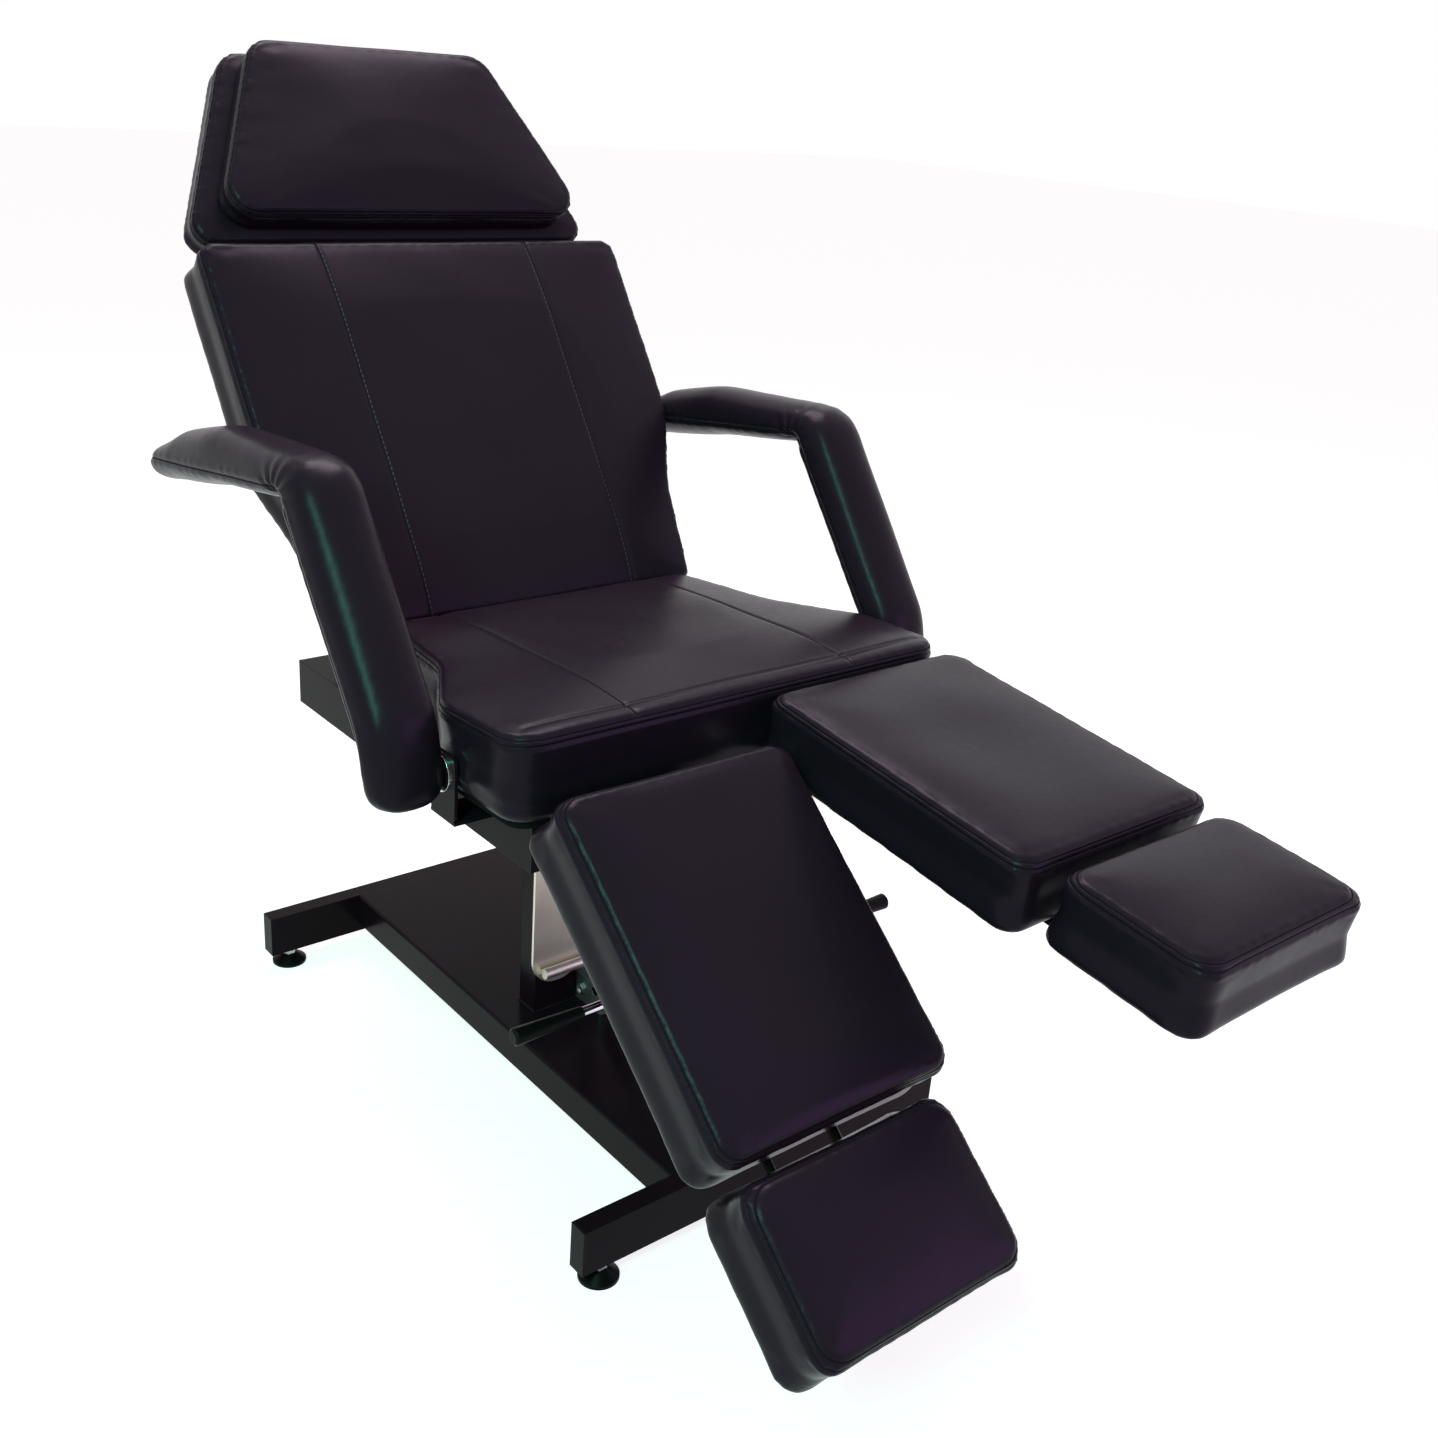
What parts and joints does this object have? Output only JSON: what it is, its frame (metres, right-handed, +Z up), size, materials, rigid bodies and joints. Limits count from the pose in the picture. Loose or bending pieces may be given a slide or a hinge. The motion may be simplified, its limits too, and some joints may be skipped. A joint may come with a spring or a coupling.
{
  "type": "tattoo chair",
  "caption": "Reclining tattoo chair with padded seat, back, headrest, arms and two split legs on a hydraulic lift with a foot pedal.",
  "frame": {"origin": "the middle of the chair's bounding box, on the floor it stands on", "axes": "+Z up; +Y from the feet to the headrest, along the chair's length; +X to the right, seen from the feet"},
  "size_m": [0.806, 1.543, 1.2499],
  "materials": {
    "black_leather": "black upholstery leather, fine grain, soft sheen",
    "plywood": "plywood panel with a dark backing cloth",
    "black_plastic": "moulded, satin",
    "grip_rubber": "smooth moulded",
    "stainless_steel": "brushed",
    "chrome": "plated, polished",
    "cast_aluminium": "machined casting",
    "zinc_plated_steel": "zinc plated",
    "black_painted_steel": "black gloss paint"
  },
  "bodies": {
    "base": {"rear_cross_beam": "black_painted_steel", "front_cross_beam": "black_painted_steel", "beam_end_plugs": "black_plastic", "levelling_feet": "black_plastic", "levelling_studs": "zinc_plated_steel", "levelling_nuts": "zinc_plated_steel", "base_side_tubes": "black_painted_steel", "column_foundation": "black_painted_steel", "base_cover": "black_painted_steel", "column_posts": "black_painted_steel", "pump_body": "cast_aluminium", "pedal_shaft": "chrome", "ram_cylinder": "cast_aluminium"},
    "pedal": {"pedal_arm": "black_painted_steel", "pedal_bar": "chrome", "pedal_grips": "grip_rubber"},
    "lift": {"lift_tubes": "chrome", "tongue_plates": "stainless_steel", "tongue_bar": "stainless_steel", "head_plate": "black_painted_steel", "swivel_bearing": "zinc_plated_steel", "swivel_spindle": "zinc_plated_steel", "ram_rod": "chrome"},
    "seat_frame": {"swivel_plate": "black_painted_steel", "seat_rails": "black_painted_steel", "rail_end_plugs": "black_plastic", "seat_cross_members": "black_painted_steel", "seat_board": "plywood", "seat_cushion": "black_leather", "back_hinge_brackets": "black_painted_steel", "back_hinge_pins": "zinc_plated_steel", "leg_hinge_brackets": "black_painted_steel", "leg_hinge_shaft": "chrome", "arm_brackets": "black_painted_steel", "arm_pivot_bolts": "chrome"},
    "backrest": {"back_frame": "black_painted_steel", "back_board": "plywood", "back_cushion": "black_leather", "head_hinge_arms": "black_painted_steel", "head_hinge_pins": "zinc_plated_steel"},
    "headrest": {"head_frame": "black_painted_steel", "head_board": "plywood", "head_cushion": "black_leather", "head_pillow": "black_leather"},
    "left_arm": {"left_arm_core": "black_painted_steel", "left_arm_pad": "black_leather"},
    "left_leg": {"left_leg_frame": "black_painted_steel", "left_leg_board": "plywood", "left_leg_pad": "black_leather"},
    "left_foot_rest": {"left_foot_slide": "black_painted_steel", "left_foot_board": "plywood", "left_foot_pad": "black_leather"},
    "right_arm": {"right_arm_core": "black_painted_steel", "right_arm_pad": "black_leather"},
    "right_leg": {"right_leg_frame": "black_painted_steel", "right_leg_board": "plywood", "right_leg_pad": "black_leather"},
    "right_foot_rest": {"right_foot_slide": "black_painted_steel", "right_foot_board": "plywood", "right_foot_pad": "black_leather"}
  },
  "joints": [
    {"name": "pedal_press", "type": "hinge", "parent": "base", "child": "pedal", "pos_m": [0, 0.053, 0.112], "axis": [1, 0, 0], "range_deg": [0, 25], "stiffness_Nm_per_rad": 20, "springref_deg": -20.05},
    {"name": "lift_rise", "type": "slide", "parent": "base", "child": "lift", "axis": [0, 0, 1], "range_m": [0, 0.17]},
    {"name": "seat_swivel", "type": "hinge", "parent": "lift", "child": "seat_frame", "pos_m": [0, 0.111, 0.466], "axis": [0, 0, 1], "continuous": true},
    {"name": "back_recline", "type": "hinge", "parent": "seat_frame", "child": "backrest", "pos_m": [0, 0.293, 0.545], "axis": [1, 0, 0], "range_deg": [-54.2, 12]},
    {"name": "headrest_tilt", "type": "hinge", "parent": "backrest", "child": "headrest", "pos_m": [0, 0.60262, 0.98738], "axis": [1, 0, 0], "range_deg": [-25, 25]},
    {"name": "left_arm_raise", "type": "hinge", "parent": "seat_frame", "child": "left_arm", "pos_m": [0, -0.067, 0.556], "axis": [1, 0, 0], "range_deg": [0, 80]},
    {"name": "right_arm_raise", "type": "hinge", "parent": "seat_frame", "child": "right_arm", "pos_m": [0, -0.067, 0.556], "axis": [1, 0, 0], "range_deg": [0, 80]},
    {"name": "left_leg_tilt", "type": "hinge", "parent": "seat_frame", "child": "left_leg", "pos_m": [0, -0.186, 0.522], "axis": [1, 0, 0], "range_deg": [-40, 10]},
    {"name": "left_foot_slide_out", "type": "slide", "parent": "left_leg", "child": "left_foot_rest", "axis": [0, -0.766, -0.6428], "range_m": [-0.02, 0.06]},
    {"name": "right_leg_tilt", "type": "hinge", "parent": "seat_frame", "child": "right_leg", "pos_m": [0, -0.186, 0.522], "axis": [1, 0, 0], "range_deg": [-6.4, 43.6]},
    {"name": "right_foot_slide_out", "type": "slide", "parent": "right_leg", "child": "right_foot_rest", "axis": [0, -0.9938, -0.1115], "range_m": [-0.02, 0.06]}
  ]
}
